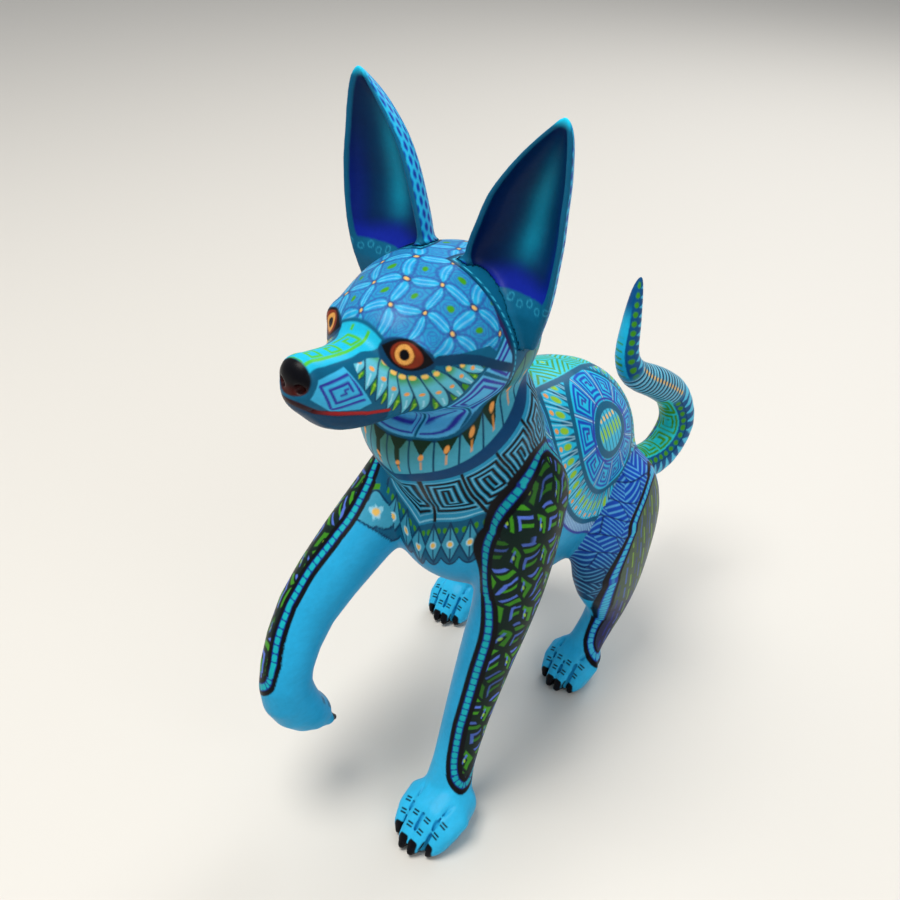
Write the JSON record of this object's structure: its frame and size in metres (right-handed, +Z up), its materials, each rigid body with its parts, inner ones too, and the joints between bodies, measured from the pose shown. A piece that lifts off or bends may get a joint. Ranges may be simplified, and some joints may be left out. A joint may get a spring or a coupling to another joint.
{
  "type": "carved wooden dog figure",
  "caption": "Carved and painted wooden dog that stands on three paws with a front paw raised; the upright ears and curled tail are push-fit plugs.",
  "frame": {"origin": "on the floor, under the middle of the dog's bounding box", "axes": "+Z up; the dog faces -Y and its left side is +X"},
  "size_m": [0.1138, 0.267, 0.3048],
  "materials": {
    "painted_body": "hand-painted acrylic under satin varnish",
    "painted_ears": "hand-painted acrylic under satin varnish",
    "painted_legs": "hand-painted acrylic under satin varnish",
    "bare_dowel": "bare, glued in"
  },
  "bodies": {
    "body": {"torso": "painted_body", "head": "painted_body", "front_left_leg": "painted_legs", "front_right_leg": "painted_legs", "hind_left_leg": "painted_legs", "hind_right_leg": "painted_legs", "neck_dowel": "bare_dowel", "shoulder_dowel_left": "bare_dowel", "shoulder_dowel_right": "bare_dowel", "hip_dowel_left": "bare_dowel", "hip_dowel_right": "bare_dowel"},
    "left_ear": {"ear_left": "painted_ears"},
    "right_ear": {"ear_right": "painted_ears"},
    "tail": {"tail": "painted_body"}
  },
  "joints": [
    {"name": "ear_left_pull", "type": "slide", "parent": "body", "child": "left_ear", "axis": [0.2425, 0, 0.9701], "range_m": [0, 0.014]},
    {"name": "ear_right_pull", "type": "slide", "parent": "body", "child": "right_ear", "axis": [-0.2425, 0, 0.9701], "range_m": [0, 0.014]},
    {"name": "tail_pull", "type": "slide", "parent": "body", "child": "tail", "axis": [0.0966, 0.9656, -0.2414], "range_m": [0, 0.016]}
  ]
}
